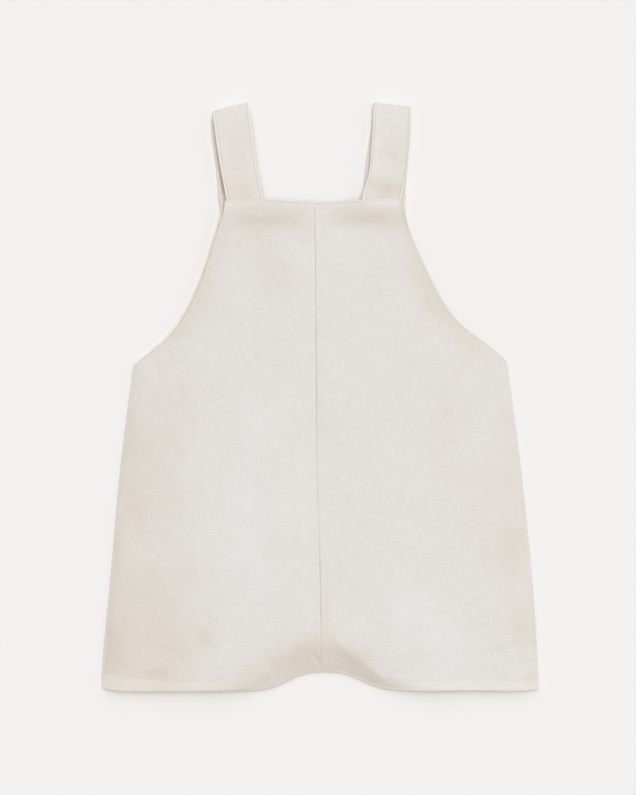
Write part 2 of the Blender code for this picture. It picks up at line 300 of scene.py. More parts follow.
def panel_lines(hem: Colour, band: float, rim: float, *seam: EdgeLine) -> tuple[EdgeLine, ...]:
    """Lines beside a panel's edges.

    Args:
        hem: Colour of the doubled hem.
        band: How strong that colour is.
        rim: How strong the tan line of painted shade is along the armhole's turned edge.
        seam: The outer lines beside the centre seam.

    Returns:
        The lines, in the order in which they are drawn.
    """
    return (
        EdgeLine(Layer.HEM, 3.9, 3.8, 0.6, band, hem),
        EdgeLine(Layer.HEM, 8.0, 0.30, 0.6, 0.22, TAN, 0.06),
        # Tan line of painted shade on the armhole's turned edge.
        EdgeLine(Layer.RIM, 0.0, 1.2, 0.8, rim, TAN),
        EdgeLine(Layer.RIM, 2.4, 0.2, 0.5, 0.20, TAN, 0.05),
        # Bib top: a cream painted highlight on its lip, the tan needle line with painted shade in its
        # groove, then a cream line below.
        EdgeLine(Layer.LIP, 0.2, 0.30, 0.4, 0.35, CREAM),
        EdgeLine(Layer.LIP, 1.15, 0.32, 0.4, 0.55, TAN, 0.04),
        EdgeLine(Layer.LIP, 2.4, 0.50, 0.5, 0.35, CREAM),
        EdgeLine(Layer.SEAM, 0.0, 0.35, 0.5, 0.20, (0.780, 0.700, 0.600)),
        *seam,
    )


LEFT_LINES = panel_lines(
    (0.846, 0.784, 0.712), 0.36, 0.12, EdgeLine(Layer.SEAM, 1.2, 0.30, 0.5, 0.30, CREAM)
)
PANEL_LINES = panel_lines(
    (0.852, 0.800, 0.738),
    0.50,
    0.50,
    EdgeLine(Layer.SEAM, 0.8, 0.30, 0.5, 0.30, (0.790, 0.690, 0.560), 0.03),
    EdgeLine(Layer.SEAM, 2.0, 0.25, 0.5, 0.25, CREAM),
)
# Warm painted light on the back's armhole edge where it lies in the front's shade, in place of the tan line.
BACK_RIM_PAINTED_LIGHT = EdgeLine(Layer.RIM, 0.0, 2.6, 1.0, 0.90, (1.000, 0.890, 0.745))
BACK_LINES = (*LEFT_LINES[:2], BACK_RIM_PAINTED_LIGHT, *LEFT_LINES[3:])
STRAP_LINES = (
    # A cream painted highlight on the band's raised edges, and the tan needle line with painted shade in its
    # groove.
    EdgeLine(Layer.RIM, 0.4, 0.9, 0.5, 0.35, CREAM),
    EdgeLine(Layer.RIM, 1.9, 0.28, 0.45, 0.45, TAN, 0.10),
)


def new_material(name: str) -> tuple[bpy.types.Material, NodeSheet]:
    """Make an empty material.

    Args:
        name: The material's name.

    Returns:
        The material and its sheet, with its shader kept on the sheet.
    """
    made = bpy.data.materials.new(name)
    made.use_nodes = True
    sheet = NodeSheet(made.node_tree)
    sheet.shader = made.node_tree.nodes["Principled BSDF"]
    return made, sheet


@dataclass(frozen=True)
class WovenCloth:
    """Undyed plain-woven cloth, matt, with a faint nap."""

    name: str
    lines: tuple[EdgeLine, ...] = PANEL_LINES
    cloth: Colour = (0.798, 0.779, 0.753)
    shade: Colour = (0.724, 0.653, 0.565)
    cool: Colour = (0.992, 1.000, 1.012)
    warm: Colour = (1.006, 1.000, 0.986)
    # Colour of the painted shade on the walls that face the light and between a strap's two runs.
    painted_shade_colour: Colour = (0.640, 0.520, 0.390)
    # Colour of the painted light on edges turned away from the light.
    glow: Colour = (1.000, 0.925, 0.805)
    pitch: float = 0.55
    relief: float = 0.09
    sheen: float = 0.10

    def material(self, nodes: ClothNodes) -> bpy.types.Material:
        """Make the material.

        Args:
            nodes: The shared node groups.

        Returns:
            The finished material.
        """
        made, sheet = new_material(self.name)
        grain = sheet.add("ShaderNodeUVMap", uv_map=Layer.GRAIN.value).outputs["UV"]
        weave = sheet.use(nodes.weave, {"Vector": grain, "Pitch": self.pitch * MM})
        tints = {"Cloth": self.cloth, "Shade": self.shade, "Cool": self.cool, "Warm": self.warm}
        given = {name: (*tint, 1.0) for name, tint in tints.items()}
        given |= {"Vector": grain, "Slub": weave["Slub"], "Warmth": self.stored(sheet, Layer.WARMTH)}
        tone = sheet.use(nodes.tone, given)
        colour = tone["Colour"]
        height = sheet.maths("MULTIPLY", weave["Height"], self.relief)
        for line in self.lines:
            given = {
                "Distance": self.stored(sheet, line.layer),
                "Inset": line.inset,
                "Half Width": line.half_width,
                "Softness": line.softness,
                "Strength": line.strength,
            }
            mask = sheet.use(nodes.line, given)["Mask"]
            colour = sheet.blend(mask, colour, (*line.colour, 1.0))
            if line.sunk > 0.0:
                sunk = sheet.maths("MULTIPLY", mask, line.sunk / line.strength)
                height = sheet.maths("SUBTRACT", height, sunk)
        # Painted light on the edges turned away from the light, then painted shade on top of it.
        for layer, tint in ((Layer.GLOW, self.glow), (Layer.SHELTER, self.painted_shade_colour)):
            colour = sheet.blend(self.stored(sheet, layer), colour, (*tint, 1.0))
        bump = sheet.add("ShaderNodeBump", {"Height": height, "Distance": MM, "Strength": 0.8})
        finish = {
            "Base Color": colour,
            "Roughness": tone["Roughness"],
            "Normal": bump.outputs["Normal"],
            "Specular IOR Level": 0.25,
            "Sheen Weight": self.sheen,
            "Sheen Roughness": 0.6,
        }
        sheet.feed(sheet.shader, finish)
        return made

    @staticmethod
    def stored(sheet: NodeSheet, layer: Layer) -> bpy.types.NodeSocket:
        """Socket that reads a number stored on the mesh."""
        return sheet.add("ShaderNodeAttribute", attribute_name=layer.value).outputs["Fac"]


@dataclass(frozen=True)
class SewingThread:
    """Spun thread of the seams."""

    name: str
    colour: Colour
    ply: Colour
    turns: float = 2600.0
    roughness: float = 0.7

    def material(self) -> bpy.types.Material:
        """Make the material, with the thread's ply as fine bands.

        Returns:
            The finished material.
        """
        made, sheet = new_material(self.name)
        place = sheet.add("ShaderNodeTexCoord").outputs["Object"]
        wave = {"Vector": place, "Scale": self.turns, "Distortion": 1.5}
        bands = sheet.add("ShaderNodeTexWave", wave, bands_direction="DIAGONAL").outputs["Fac"]
        colour = sheet.blend(bands, (*self.ply, 1.0), (*self.colour, 1.0))
        sheet.feed(sheet.shader, {"Base Color": colour, "Roughness": self.roughness, "Sheen Weight": 0.1})
        return made


WHITE_THREAD = SewingThread("white_thread", (0.960, 0.950, 0.930), (0.890, 0.870, 0.830))
ECRU_THREAD = SewingThread("ecru_thread", (0.800, 0.765, 0.715), (0.730, 0.680, 0.615))


@dataclass(frozen=True)
class PaleFloor:
    """Smooth painted board under the garment."""

    name: str = "pale_floor"
    colour: Colour = (0.870, 0.862, 0.846)
    roughness: float = 0.9

    def material(self) -> bpy.types.Material:
        """Make the material.

        Returns:
            The finished material.
        """
        made, sheet = new_material(self.name)
        plain = {"Base Color": (*self.colour, 1.0), "Roughness": self.roughness, "Specular IOR Level": 0.1}
        sheet.feed(sheet.shader, plain)
        return made


# Creases, outlines and stitches


@dataclass(frozen=True)
class SoftLine:
    """A soft stroke that may bow to its left: a fold of the cloth, or a zone of painted shade, which is
    painted light where its amount is negative.
    """

    start: Spot
    end: Spot
    width: float
    amount: float
    bow: float = 0.0

    def at(self, x: np.ndarray, y: np.ndarray) -> np.ndarray:
        """How strong the stroke is.

        Args:
            x: Places across, in millimetres.
            y: Places up, in millimetres.

        Returns:
            Its amount at those places. For a fold this is a height: a ridge is positive, a trough negative.
        """
        run = np.array(self.end) - np.array(self.start)
        length = float(np.hypot(*run))
        unit = run / length
        share = ((x - self.start[0]) * unit[0] + (y - self.start[1]) * unit[1]) / length
        aside = (y - self.start[1]) * unit[0] - (x - self.start[0]) * unit[1]
        inside = np.clip(share, 0.0, 1.0)
        aside = aside - self.bow * 4.0 * inside * (1.0 - inside)
        past = (share - inside) * length
        fade = np.sin(math.pi * np.clip(share * 0.9 + 0.05, 0.0, 1.0)) ** 0.8
        return self.amount * fade * np.exp(-(aside**2 + past**2) / self.width**2)


@dataclass(frozen=True)
class Ripple:
    """A faint even swell of the cloth, one of several that make it uneven."""

    heading: float
    wavelength: float
    height: float
    phase: float

    def at(self, x: np.ndarray, y: np.ndarray) -> np.ndarray:
        """How high the swell stands.

        Args:
            x: Places across, in millimetres.
            y: Places up, in millimetres.

        Returns:
            Its height at those places, in millimetres.
        """
        angle = math.radians(self.heading)
        run = x * math.cos(angle) + y * math.sin(angle)
        bend = 0.8 * np.sin((y * math.cos(angle) - x * math.sin(angle)) * 2.1 / self.wavelength)
        return self.height * np.sin(2.0 * math.pi * run / self.wavelength + self.phase + bend)


@dataclass(frozen=True)
class Nudge:
    """A small push of the cloth about one place, for the points between two heights."""

    spot: Spot
    shift: Spot
    reach: Spot
    low: float = -1.0
    high: float = FAR

    def push(self, coords: np.ndarray) -> None:
        """Move the points about the place.

        Args:
            coords: Points in metres, one row each, which are moved.
        """
        x, y, z = coords.T / MM
        across, along = (x - self.spot[0]) / self.reach[0], (y - self.spot[1]) / self.reach[1]
        near = np.exp(-(across**2) - along**2) * ((z > self.low) & (z < self.high))
        coords[:, 0] += near * self.shift[0] * MM
        coords[:, 1] += near * self.shift[1] * MM


@dataclass(frozen=True)
class Corners:
    """Plan places where one edge of a panel ends and the next begins."""

    seam_foot: Spot
    hem_corner: Spot
    underarm: Spot
    bib_corner: Spot
    seam_head: Spot


def smooth_line(points: list[Vector], steps: int = 8) -> list[Vector]:
    """Even cubic curve that a smoothed mesh edge follows, with its ends kept.

    Args:
        points: The edge's own corners, in order.
        steps: Points made for each of them.

    Returns:
        The finer line.
    """
    held = [points[0] * 2.0 - points[1], *points, points[-1] * 2.0 - points[-2]]
    line = []
    for before, first, second, after in zip(held, held[1:], held[2:], held[3:]):
        for step in range(steps):
            t = step / steps
            weights = (
                (1.0 - t) ** 3,
                3.0 * t**3 - 6.0 * t**2 + 4.0,
                -3.0 * t**3 + 3.0 * t**2 + 3.0 * t + 1.0,
                t**3,
            )
            parts = (before, first, second, after)
            line.append(sum((part * weight for part, weight in zip(parts, weights)), Vector()) / 6.0)
    return [*line, points[-1].copy()]


def chains(edges: list[bmesh.types.BMEdge]) -> list[list[Vector]]:
    """Order loose edges into lines.

    Args:
        edges: Edges that form one or more lines or loops.

    Returns:
        One list of points for each line, with a loop's first point repeated at its end.
    """
    links: dict[bmesh.types.BMVert, list[bmesh.types.BMVert]] = {}
    for edge in edges:
        for here, there in (edge.verts, reversed(edge.verts)):
            links.setdefault(here, []).append(there)
    lines = []
    while links:
        start = next((vert for vert, others in links.items() if len(others) == 1), next(iter(links)))
        line = [start]
        while links.get(line[-1]):
            following = links[line[-1]].pop()
            links[following].remove(line[-1])
            line.append(following)
        for vert in line:
            if not links.get(vert):
                links.pop(vert, None)
        lines.append([vert.co.copy() for vert in line])
    return lines


class Rim:
    """The outline of one face of a panel, split into its named edges."""

    def __init__(self, loop: list[Vector], corners: Corners) -> None:
        """Split the loop at the corners.

        Args:
            loop: The outline's points in order, the first one repeated at the end.
            corners: Where the named edges meet.
        """
        ring = loop[:-1]
        names = (
            (Edge.BOTTOM, corners.seam_foot, corners.hem_corner),
            (Edge.SIDE, corners.hem_corner, corners.underarm),
            (Edge.ARMHOLE, corners.underarm, corners.bib_corner),
            (Edge.TOP, corners.bib_corner, corners.seam_head),
            (Edge.SEAM, corners.seam_head, corners.seam_foot),
        )
        marks = [self._nearest(ring, first) for _, first, _ in names]
        if (marks[1] - marks[0]) % len(ring) > (marks[2] - marks[0]) % len(ring):
            ring.reverse()
            marks = [self._nearest(ring, first) for _, first, _ in names]
        self.lines: dict[Edge, list[Vector]] = {}
        self.trees: dict[Edge, KDTree] = {}
        for (name, _, _), first, last in zip(names, marks, marks[1:] + marks[:1]):
            count = (last - first) % len(ring)
            points = [ring[(first + step) % len(ring)] for step in range(count + 1)]
            self.lines[name] = smooth_line(points)
            tree = KDTree(len(self.lines[name]))
            for index, point in enumerate(self.lines[name]):
                tree.insert((point.x, point.y, 0.0), index)
            tree.balance()
            self.trees[name] = tree

    @staticmethod
    def _nearest(ring: list[Vector], spot: Spot) -> int:
        """Index of the ring's point nearest to a place in millimetres."""
        return min(range(len(ring)), key=lambda at: (ring[at].xy - Vector(spot) * MM).length)

    def distances(self, name: Edge, coords: np.ndarray) -> np.ndarray:
        """Distance in plan from points to one edge.

        Args:
            name: The edge.
            coords: Points in metres, one row each.

        Returns:
            Distances in millimetres.
        """
        tree = self.trees[name]
        return np.array([tree.find((x, y, 0.0))[2] for x, y in coords[:, :2]]) / MM


@dataclass(frozen=True)
class StitchRow:
    """A row of lockstitches beside an edge."""

    edge: Edge
    inset: float
    start: float = 0.0
    stop: float = 1.0
    stitch: float = 2.4
    thickness: float = 0.30
    gap: float = 0.5
    jitter: float = 0.12


@dataclass
class Needle:
    """Lays stitches on a surface as small spindles of thread, all in one mesh."""

    sink: float = 0.10
    mesh: bmesh.types.BMesh = field(default_factory=bmesh.new)

    def sew(self, line: list[Vector], surface: BVHTree, aim: Vector | None, row: StitchRow) -> None:
        """Sew along a line.

        Args:
            line: Points near the surface, in metres.
            surface: The cloth's surface.
            aim: Direction in which points are dropped on the cloth, or None for the nearest place.
            row: The sizes of its stitches.
        """
        steps = [(after - before).length for before, after in zip(line, line[1:])]
        reach = np.concatenate(([0.0], np.cumsum(steps)))
        table = np.array([tuple(point) for point in line])
        pitch = (row.stitch + row.gap) * MM
        for index in range(int(reach[-1] / pitch)):
            ends = []
            for at in (index * pitch, index * pitch + row.stitch * MM):
                spot = Vector([float(np.interp(at, reach, table[:, axis])) for axis in range(3)])
                if aim is None:
                    hit, normal, _, _ = surface.find_nearest(spot)
                else:
                    hit, normal, _, _ = surface.ray_cast(spot - aim * 0.05, aim)
                if hit is None:
                    break
                ends.append((hit, normal))
            if len(ends) < 2:
                continue
            self._spindle(ends[0], ends[1], row.jitter * math.sin(index * 2.399), row.thickness)

    def _spindle(
        self, first: tuple[Vector, Vector], last: tuple[Vector, Vector], aside: float, thickness: float
    ) -> None:
        """Add one stitch.

        Args:
            first: Where it enters the cloth, and the cloth's normal there.
            last: Where it leaves, and the normal there.
            aside: How far it strays sideways, in millimetres.
            thickness: The thread's width, in millimetres.
        """
        run = last[0] - first[0]
        normal = (first[1] + last[1]).normalized()
        along = run.normalized()
        side = normal.cross(along).normalized()
        up = along.cross(side)
        centre = (first[0] + last[0]) * 0.5 + up * ((0.5 - self.sink) * 0.5 * thickness * MM)
        turn = Matrix((along, side, up)).transposed().to_4x4()
        skew = Matrix.Rotation(aside * 0.6, 4, "Z")
        size = Matrix.Diagonal((run.length * 0.5, thickness * 0.5 * MM, thickness * 0.4 * MM, 1.0))
        place = Matrix.Translation(centre + side * (aside * 0.3 * MM))
        bmesh.ops.create_uvsphere(
            self.mesh, u_segments=6, v_segments=4, radius=1.0, matrix=place @ turn @ skew @ size
        )

    def finish(self, name: str, material: bpy.types.Material, slot: str) -> bpy.types.Object:
        """Turn the stitches into one object.

        Args:
            name: The object's name.
            material: The thread's material.
            slot: Not used.

        Returns:
            The object, riding on the body.
        """
        bmesh.ops.recalc_face_normals(self.mesh, faces=self.mesh.faces)
        data = bpy.data.meshes.new(name)
        self.mesh.to_mesh(data)
        self.mesh.free()
        data.shade_smooth()
        return place_piece(name, data, material)


def place_piece(
    name: str, data: bpy.types.Mesh, material: bpy.types.Material
) -> bpy.types.Object:
    """Put a finished mesh in the scene.

    Args:
        name: The object's name.
        data: Its mesh, in the part's frame.
        material: Its only material.

    Returns:
        The object, riding on the body.
    """
    data.materials.clear()
    data.materials.append(material)
    piece = bpy.data.objects.new(name, data)
    bpy.context.scene.collection.objects.link(piece)
    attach(piece, BODY)
    log.info("%s: %d faces", name, len(data.polygons))
    return piece


# Shells of cloth


class Workroom:
    """What every piece is made with."""

    def __init__(self) -> None:
        """Prepare the shared node groups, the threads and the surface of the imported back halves."""
        self.nodes = ClothNodes()
        self.threads = {thread: thread.material() for thread in (WHITE_THREAD, ECRU_THREAD)}
        both = bmesh.new()
        for node in ("back_left", "back_right"):
            both.from_mesh(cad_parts[node].data)
        self.backs = BVHTree.FromBMesh(both)
        both.free()


def eased(share: np.ndarray) -> np.ndarray:
    """Shares held between 0 and 1, with soft ends."""
    held = np.clip(share, 0.0, 1.0)
    return held * held * (3.0 - 2.0 * held)


@dataclass
class Shell:
    """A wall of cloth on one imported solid's form."""

    node: str
    cloth: WovenCloth
    room: Workroom
    creases: tuple[SoftLine, ...] = ()
    ripples: tuple[Ripple, ...] = ()
    shading_paint: tuple[SoftLine, ...] = ()
    rounding: float = 0.32
    wall_shade: float = 0.5
    steep_fade: float = 0.2
    lit_from: float = 0.4
    painted_light_from: float = 0.44
    # Painted shade for each millimetre of a trough's depth.
    painted_trough_shade: float = 0.35
    levels: int = 3
    piece: bpy.types.Object | None = None

    def is_joined(self, edge: bmesh.types.BMEdge) -> bool:
        """Whether an edge is sewn to its neighbour, so that it stays crisp."""
        return False

    def solid_copy(self) -> bmesh.types.BMesh:
        """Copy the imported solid, with its points merged and its triangles joined.

        Returns:
            The copy.
        """
        copy = bmesh.new()
        copy.from_mesh(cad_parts[self.node].data)
        bmesh.ops.remove_doubles(copy, verts=copy.verts, dist=0.001 * MM)
        bmesh.ops.join_triangles(
            copy,
            faces=copy.faces,
            angle_face_threshold=math.radians(60.0),
            angle_shape_threshold=math.radians(120.0),
        )
        bmesh.ops.recalc_face_normals(copy, faces=copy.faces)
        return copy

    def is_wall(self, face: bmesh.types.BMFace) -> bool:
        """Whether a face is part of the cut edge between the cloth's two faces."""
        return abs(face.normal.z) < STEEP

    def rim_edges(self, copy: bmesh.types.BMesh) -> list[bmesh.types.BMEdge]:
        """Find the edges to round: those between a wall and a face, and sharp corners of the wall.

        Args:
            copy: The solid's copy.

        Returns:
            The edges.
        """
        found = []
        for edge in copy.edges:
            walls = [self.is_wall(face) for face in edge.link_faces]
            corner = all(walls) and edge.calc_face_angle(0.0) > math.radians(28.0)
            if walls.count(True) == 1 or corner:
                found.append(edge)
        return found

    def round_rim(self, copy: bmesh.types.BMesh, segments: int) -> None:
        """Round the edges of the cloth.

        Args:
            copy: The solid's copy, which is changed.
            segments: Faces across each rounded edge.
        """
        found = self.rim_edges(copy)
        joined = [edge for edge in found if self.is_joined(edge)]
        free = [edge for edge in found if edge not in set(joined)]
        for edges, share in ((free, 1.0), (joined, 0.35)):
            bmesh.ops.bevel(
                copy,
                geom=[edge for edge in edges if edge.is_valid],
                offset=self.rounding * share * MM,
                offset_type="OFFSET",
                affect="EDGES",
                segments=segments,
                profile=0.5,
                material=-1,
                clamp_overlap=True,
            )

    def refine(self, copy: bmesh.types.BMesh) -> bpy.types.Mesh:
        """Smooth the facets.

        Args:
            copy: The solid's copy, which is used up.

        Returns:
            The finer mesh.
        """
        coarse = bpy.data.meshes.new(self.node + "_coarse")
        copy.to_mesh(coarse)
        copy.free()
        carrier = bpy.data.objects.new(self.node + "_carrier", coarse)
        bpy.context.scene.collection.objects.link(carrier)
        smooth = carrier.modifiers.new("smooth_cloth", "SUBSURF")
        smooth.levels = self.levels
        smooth.render_levels = self.levels
        graph = bpy.context.evaluated_depsgraph_get()
        fine = bpy.data.meshes.new_from_object(carrier.evaluated_get(graph))
        bpy.data.objects.remove(carrier)
        bpy.data.meshes.remove(coarse)
        return fine

    @staticmethod
    def read(data: bpy.types.Mesh, what: str = "co") -> np.ndarray:
        """Read the points of a mesh.

        Args:
            data: The mesh.
            what: Blender's name for what is read: the place or the normal.

        Returns:
            One row for each point, a place in metres.
        """
        numbers = np.empty(len(data.vertices) * 3)
        data.vertices.foreach_get(what, numbers)
        return numbers.reshape(-1, 3)

    @staticmethod
    def write(data: bpy.types.Mesh, coords: np.ndarray) -> None:
        """Give a mesh its moved points."""
        data.vertices.foreach_set("co", coords.ravel())
        data.update()

    @staticmethod
    def store(data: bpy.types.Mesh, values: dict[Layer, np.ndarray]) -> None:
        """Store a number for each point of a mesh in each of the shader's layers.

        Args:
            data: The mesh.
            values: The layers that differ from their plain value, with one number for each point.
        """
        for layer in Layer:
            if layer is Layer.GRAIN:
                continue
            plain = FAR if layer in DISTANCES else 0.0
            numbers = values.get(layer, np.full(len(data.vertices), plain))
            stored = data.attributes.new(layer.value, "FLOAT", "POINT")
            stored.data.foreach_set("value", numbers.astype(np.float32))

    @staticmethod
    def map_grain(data: bpy.types.Mesh, grain: np.ndarray) -> None:
        """Store the cloth's own coordinates, which the weave follows.

        Args:
            data: The mesh.
            grain: A row of two values for each point, in metres.
        """
        corners = np.empty(len(data.loops), np.int32)
        data.loops.foreach_get("vertex_index", corners)
        layer = data.uv_layers.new(name=Layer.GRAIN.value)
        layer.data.foreach_set("uv", grain[corners].astype(np.float32).ravel())

    def surface(self) -> BVHTree:
        """Make a search tree of the finished piece's surface.

        Returns:
            The tree.
        """
        copy = bmesh.new()
        copy.from_mesh(self.piece.data)
        tree = BVHTree.FromBMesh(copy)
        copy.free()
        return tree

    @staticmethod
    def total(strokes: tuple[SoftLine | Ripple, ...], coords: np.ndarray) -> np.ndarray:
        """Sum of several strokes at points given in metres."""
        x, y = coords[:, 0] / MM, coords[:, 1] / MM
        return sum((stroke.at(x, y) for stroke in strokes), np.zeros(len(x)))

    def warmth(self, coords: np.ndarray) -> np.ndarray:
        """Painted shading at points in metres: the named zones of painted shade and light, and painted shade
        in the troughs of the folds.
        """
        # Painted shade in the troughs of the folds, by their depth.
        troughs = np.clip(-self.total(self.creases, coords), 0.0, 1.2) * self.painted_trough_shade
        return np.clip(self.total(self.shading_paint, coords) + troughs, -0.4, 1.2)

    def shade_walls(self, data: bpy.types.Mesh) -> np.ndarray:
        """Paint shade on the cut edges that face the light, which would otherwise brighten the floor beside
        them.

        Args:
            data: The finished mesh.

        Returns:
            Their painted shade, one number for each point.
        """
        normals = self.read(data, "normal")
        upright = np.clip((STEEP - np.abs(normals[:, 2])) / self.steep_fade, 0.0, 1.0)
        lit = np.clip(normals[:, :2] @ LIGHT_FROM + self.lit_from, 0.0, 1.0)
        return upright * lit * self.wall_shade

    def paint_light_on_edges(self, data: bpy.types.Mesh) -> np.ndarray:
        """Painted light on the edges turned away from the light, so that they are not as dark as their
        shade.
        """
        return np.clip(-(self.read(data, "normal")[:, :2] @ LIGHT_FROM) * 2.0 - self.painted_light_from, 0.0, 1.0)

    def settle(self, data: bpy.types.Mesh) -> None:
        """Make the piece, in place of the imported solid.

        Args:
            data: Its finished mesh.
        """
        dressed = self.cloth.material(self.room.nodes)
        self.piece = place_piece("cloth_" + self.node, data, dressed)
        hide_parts(self.node)

    def collect(self, needle: Needle, title: str, thread: SewingThread) -> bpy.types.Object:
        """The needle's stitches as one object, named by the cloth and a title."""
        return needle.finish(f"stitches_{self.node}{title}", self.room.threads[thread], self.node + "_cloth")


@dataclass
class Panel(Shell):
    """One half of the front or the back."""

    corners: Corners | None = None
    rows: tuple[StitchRow, ...] = ()
    bib_rows: tuple[StitchRow, ...] = ()
    hem_rise: float = 0.0
    rise_from: float = 112.0
    rise_over: float = 44.0
    inner_leg: float = 52.0
    hem_fade: float = 0.45
    painted_light_reach: float = 2.0
    middle: Spot = (75.0, -40.0)
    rim: Rim | None = None
    outer_face: Face = Face.UPPER

    def read_rim(self, copy: bmesh.types.BMesh) -> None:
        """Find the outline of the panel's outer face.

        Args:
            copy: The solid's copy.
        """
        side = self.outer_face.value
        border = [
            edge
            for edge in copy.edges
            if [self.is_wall(face) for face in edge.link_faces].count(True) == 1
            and any(face.normal.z * side > STEEP for face in edge.link_faces)
        ]
        self.rim = Rim(max(chains(border), key=len), self.corners)

    def risen(self, x: np.ndarray) -> np.ndarray:
        """How much deeper the hem is at places across, all in millimetres."""
        return self.hem_rise * eased((np.abs(x) - self.rise_from) / self.rise_over)

    def dress(self, data: bpy.types.Mesh, coords: np.ndarray) -> None:
        """Store what the shader needs: the distances from the edges, the painted shading, the painted shade
        of the walls, the painted light of the edges and the grain.

        Args:
            data: The finished mesh.
            coords: Its points.
        """
        past_leg = np.clip(self.inner_leg - np.abs(coords[:, 0]) / MM, 0.0, 40.0)
        away = {edge: self.rim.distances(edge, coords) for edge in Edge}
        deeper = self.risen(coords[:, 0] / MM) * np.clip(away[Edge.BOTTOM] / 8.0, 0.0, 1.0)
        # Painted light only near the hem and the side seams.
        near_hem_or_side = np.clip(self.painted_light_reach - np.minimum(away[Edge.BOTTOM], away[Edge.SIDE]), 0.0, 1.0)
        values = {
            Layer.RIM: away[Edge.ARMHOLE],
            Layer.LIP: away[Edge.TOP],
            Layer.SEAM: away[Edge.SEAM],
            Layer.HEM: away[Edge.BOTTOM] - deeper + past_leg * self.hem_fade,
            Layer.WARMTH: self.warmth(coords),
            Layer.SHELTER: self.shade_walls(data),
            Layer.GLOW: self.paint_light_on_edges(data) * near_hem_or_side,
        }
        self.store(data, values)
        self.map_grain(data, coords[:, :2])

    def row_line(self, row: StitchRow) -> list[Vector]:
        """Line of a stitch row: its edge, moved in towards the panel.

        Args:
            row: The row.

        Returns:
            Points in plan, at the edge's own heights.
        """
        line = self.rim.lines[row.edge]
        centre = sum(line, Vector()) / len(line)
        middle = Vector((math.copysign(self.middle[0], centre.x), self.middle[1], 0.0)) * MM
        first, last = int(row.start * (len(line) - 1)), int(row.stop * (len(line) - 1))
        moved = []
        for index in range(first, last + 1):
            before, after = line[max(index - 3, 0)], line[min(index + 3, len(line) - 1)]
            along = (after - before).xy.normalized()
            aside = Vector((-along.y, along.x))
            if aside.dot((middle - line[index]).xy) < 0.0:
                aside.negate()
            inset = row.inset
            if row.edge is Edge.BOTTOM:
                inset += float(self.risen(line[index].x / MM))
            moved.append(line[index] + Vector((aside.x, aside.y, 0.0)) * (inset * MM))
        return moved

    def sew(self) -> list[bpy.types.Object]:
        """Sew the panel's rows, the bib's in white thread.

        Returns:
            The stitches, one object for each thread.
        """
        made = []
        tree = self.surface()
        aim = Vector((0.0, 0.0, -float(self.outer_face.value)))
        for title, rows, thread in (("_hem", self.rows, ECRU_THREAD), ("_bib", self.bib_rows, WHITE_THREAD)):
            if not rows:
                continue
            needle = Needle()
            for row in rows:
                needle.sew(self.row_line(row), tree, aim, row)
            made.append(self.collect(needle, title, thread))
        return made


@dataclass
class FrontHalf(Panel):
    """A front half: its dome smoothed, its seams closed, its folds pressed in."""

    nudges: tuple[Nudge, ...] = ()
    seam_gap: float = 0.3
    low_edge: float = 4.2
    meets_within: float = 1.1
    meets_fade: float = 0.6
    closed_height: float = 2.7
    free_over: float = 2.5
    give: float = 3.0

    def is_joined(self, edge: bmesh.types.BMEdge) -> bool:
        """Whether an edge belongs to the centre-front seam."""
        ends = np.array([tuple(vert.co) for vert in edge.verts])
        return bool(self.rim.distances(Edge.SEAM, ends).max() < 0.4)

    def close_seams(self, coords: np.ndarray) -> None:
        """Close the small gaps at the side, crotch and centre seams.

        Args:
            coords: The shell's points, which are moved.
        """
        for index in np.nonzero(coords[:, 2] < self.low_edge * MM)[0]:
            distance = self.room.backs.find_nearest(Vector(coords[index]))[3] / MM
            meeting = min(max((self.meets_within - distance) / self.meets_fade, 0.0), 1.0)
            coords[index, 2] -= self.seam_gap * MM * meeting
        near = np.clip(1.0 - self.rim.distances(Edge.SEAM, coords) / self.give, 0.0, 1.0)
        towards = -math.copysign(1.0, self.corners.hem_corner[0])
        coords[:, 0] += towards * near * self.seam_gap * 0.5 * MM

    def build(self) -> None:
        """Make the front half."""
        copy = self.solid_copy()
        self.read_rim(copy)
        self.round_rim(copy, 1)
        data = self.refine(copy)
        coords = self.read(data)
        self.close_seams(coords)
        for nudge in self.nudges:
            nudge.push(coords)
        free = eased((coords[:, 2] / MM - self.closed_height) / self.free_over)
        coords[:, 2] += self.total((*self.creases, *self.ripples), coords) * free * MM
        self.write(data, coords)
        self.dress(data, coords)
        self.settle(data)


@dataclass
class BackHalf(Panel):
    """A back half: flat on the surface, with its own hem and faint folds."""

    lattice: float = 4.0
    flat_edge: float = 12.0
    outer_face: Face = Face.LOWER

    def slice(self, copy: bmesh.types.BMesh) -> None:
        """Cut the flat faces into a lattice, so that folds can be pressed into them.

        Args:
            copy: The solid's copy.
        """
        low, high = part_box(self.node)
        for axis, unit in enumerate((Vector((1.0, 0.0, 0.0)), Vector((0.0, 1.0, 0.0)))):
            count = int((high[axis] - low[axis]) / (self.lattice * MM))
            for step in range(1, count):
                place = unit * (low[axis] + (high[axis] - low[axis]) * step / count)
                parts = copy.verts[:] + copy.edges[:] + copy.faces[:]
                bmesh.ops.bisect_plane(copy, geom=parts, plane_co=place, plane_no=unit, dist=0.01 * MM)

    def build(self) -> None:
        """Make the back half."""
        copy = self.solid_copy()
        bmesh.ops.dissolve_limit(copy, angle_limit=math.radians(0.5), verts=copy.verts, edges=copy.edges)
        self.read_rim(copy)
        self.round_rim(copy, 2)
        self.slice(copy)
        data = bpy.data.meshes.new("cloth_" + self.node)
        copy.to_mesh(data)
        copy.free()
        coords = self.read(data)
        inner = np.minimum.reduce([self.rim.distances(name, coords) for name in Edge]) / self.flat_edge
        folds = np.maximum(self.total((*self.creases, *self.ripples), coords), 0.0)
        coords[:, 2] += folds * np.clip(inner, 0.0, 1.0) * MM
        self.write(data, coords)
        self.dress(data, coords)
        data.shade_smooth()
        self.settle(data)


